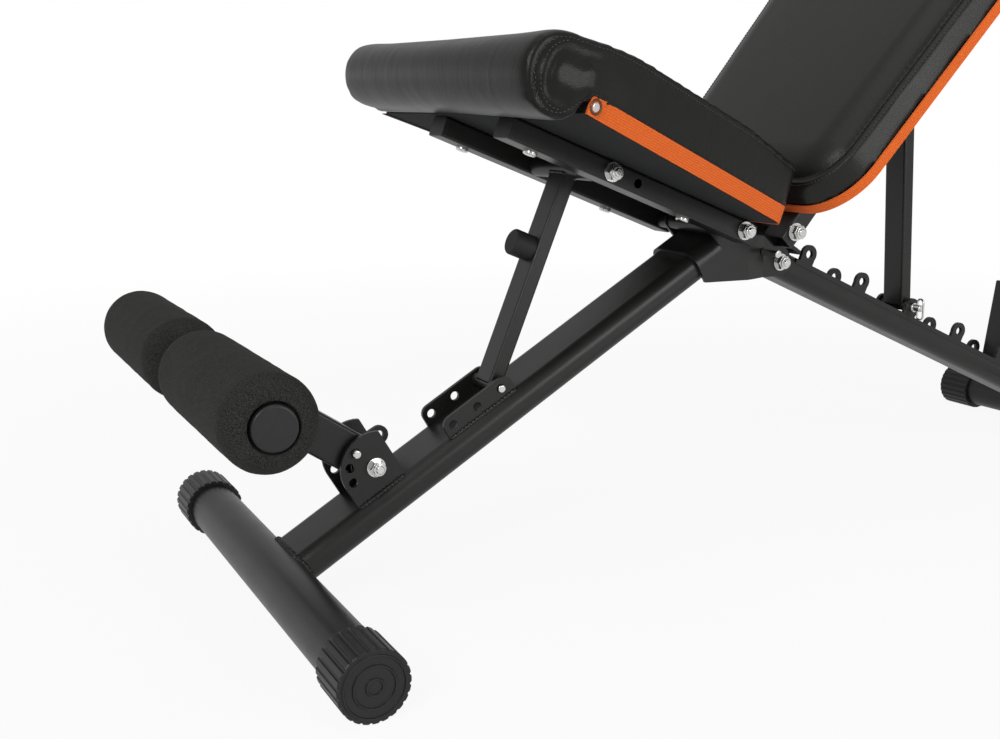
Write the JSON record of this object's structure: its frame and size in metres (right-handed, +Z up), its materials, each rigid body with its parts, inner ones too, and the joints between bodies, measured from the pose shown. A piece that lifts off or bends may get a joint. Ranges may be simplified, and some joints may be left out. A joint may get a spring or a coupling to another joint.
{
  "type": "adjustable weight bench",
  "caption": "Folding adjustable weight bench with tilting seat and back pads on struts, pin ladders, a foam roller leg hold and round capped feet.",
  "frame": {"origin": "centre of the overall box in plan, on the floor", "axes": "+X from the leg rollers to the head end, +Y to the far side, +Z up"},
  "size_m": [1.2938, 0.516, 0.904],
  "materials": {
    "black_steel": "satin powder coat",
    "zinc": "bright zinc plate",
    "cap_plastic": "ribbed matt",
    "foam": "speckled closed cell foam",
    "leatherette": "grained, stitched",
    "webbing": "ribbed woven band",
    "board": "covered with dark grey cloth",
    "rubber": "matt"
  },
  "bodies": {
    "front_frame": {"front_foot_tube": "black_steel", "front_foot_caps": "cap_plastic", "front_leg_tube": "black_steel", "hinge_bracket": "black_steel", "seat_pivot_tube": "black_steel", "back_pivot_tube": "black_steel", "strut_bracket_near": "black_steel", "strut_bracket_far": "black_steel", "roller_bracket_near": "black_steel", "roller_bracket_far": "black_steel", "pivot_bolts": "zinc", "pivot_nuts": "zinc", "pivot_washers": "zinc"},
    "rear_frame": {"rear_leg_tube": "black_steel", "hinge_bush": "cap_plastic", "rear_foot_tube": "black_steel", "rear_foot_caps": "cap_plastic", "ladder_plate_near": "black_steel", "ladder_plate_far": "black_steel", "rest_post": "black_steel", "rest_post_cap": "cap_plastic"},
    "seat": {"seat_rail_near": "black_steel", "seat_rail_far": "black_steel", "seat_rail_plugs": "cap_plastic", "seat_board": "board", "seat_pad": "leatherette", "seat_trim": "webbing", "seat_rivets": "zinc", "seat_pad_screws": "zinc", "seat_strut_bolt": "zinc", "seat_strut_nut": "zinc"},
    "seat_strut": {"seat_strut_tube": "black_steel", "seat_strut_sleeve": "black_steel", "seat_strut_hook": "black_steel", "strut_bumper": "rubber"},
    "back": {"back_rail_near": "black_steel", "back_rail_far": "black_steel", "back_rail_plugs": "cap_plastic", "back_board": "board", "back_pad": "leatherette", "back_trim": "webbing", "back_pad_screws": "zinc", "back_strut_bolt": "zinc", "back_strut_nut": "zinc"},
    "back_strut": {"back_strut_tube": "black_steel", "back_strut_sleeve": "black_steel", "back_strut_hook": "black_steel"},
    "roller_arm": {"roller_arm_tube": "black_steel", "roller_bar": "black_steel", "arm_spacers": "cap_plastic", "roller_end_plugs": "cap_plastic"},
    "roller_near": {"foam_roller_near": "foam"},
    "roller_far": {"foam_roller_far": "foam"},
    "seat_pin": {"seat_strut_pin": "zinc"},
    "arm_pin": {"roller_arm_pin": "zinc"},
    "fold_pin": {"fold_lock_pin": "zinc"},
    "back_pin": {"back_strut_pin": "zinc", "back_pin_clip": "zinc"}
  },
  "joints": [
    {"name": "frame_fold", "type": "hinge", "parent": "front_frame", "child": "rear_frame", "pos_m": [0.01402, 0, 0.2862], "axis": [0, 1, 0], "range_deg": [0, 120]},
    {"name": "seat_tilt", "type": "hinge", "parent": "front_frame", "child": "seat", "pos_m": [-0.07998, 0, 0.3292], "axis": [0, 1, 0], "range_deg": [-21.7, 0]},
    {"name": "seat_strut_swing", "type": "hinge", "parent": "seat", "child": "seat_strut", "pos_m": [-0.23561, 0, 0.39113], "axis": [0, 1, 0], "range_deg": [0, 66]},
    {"name": "back_tilt", "type": "hinge", "parent": "front_frame", "child": "back", "pos_m": [-0.01558, 0, 0.3246], "axis": [0, -1, 0], "range_deg": [0, 22]},
    {"name": "back_strut_swing", "type": "hinge", "parent": "back", "child": "back_strut", "pos_m": [0.19977, 0, 0.56801], "axis": [0, -1, 0], "range_deg": [-7.5, 0]},
    {"name": "roller_arm_tilt", "type": "hinge", "parent": "front_frame", "child": "roller_arm", "pos_m": [-0.45376, 0, 0.12506], "axis": [0, 1, 0], "range_deg": [0, 85]},
    {"name": "roller_near_spin", "type": "hinge", "parent": "roller_arm", "child": "roller_near", "pos_m": [-0.60952, 0, 0.23211], "axis": [0, 1, 0], "continuous": true},
    {"name": "roller_far_spin", "type": "hinge", "parent": "roller_arm", "child": "roller_far", "pos_m": [-0.60952, 0, 0.23211], "axis": [0, 1, 0], "continuous": true},
    {"name": "seat_pin_pull", "type": "slide", "parent": "front_frame", "child": "seat_pin", "axis": [0, 1, 0], "range_m": [0, 0.07]},
    {"name": "arm_pin_pull", "type": "slide", "parent": "front_frame", "child": "arm_pin", "axis": [0, 1, 0], "range_m": [0, 0.07]},
    {"name": "fold_pin_pull", "type": "slide", "parent": "front_frame", "child": "fold_pin", "axis": [0, 1, 0], "range_m": [0, 0.09]},
    {"name": "back_pin_pull", "type": "slide", "parent": "rear_frame", "child": "back_pin", "axis": [0, -1, 0], "range_m": [0, 0.065]}
  ],
  "couplings": [
    {"joint": "seat_strut_swing", "follows": "seat_tilt", "ratio": -3},
    {"joint": "back_strut_swing", "follows": "back_tilt", "ratio": -0.34}
  ]
}
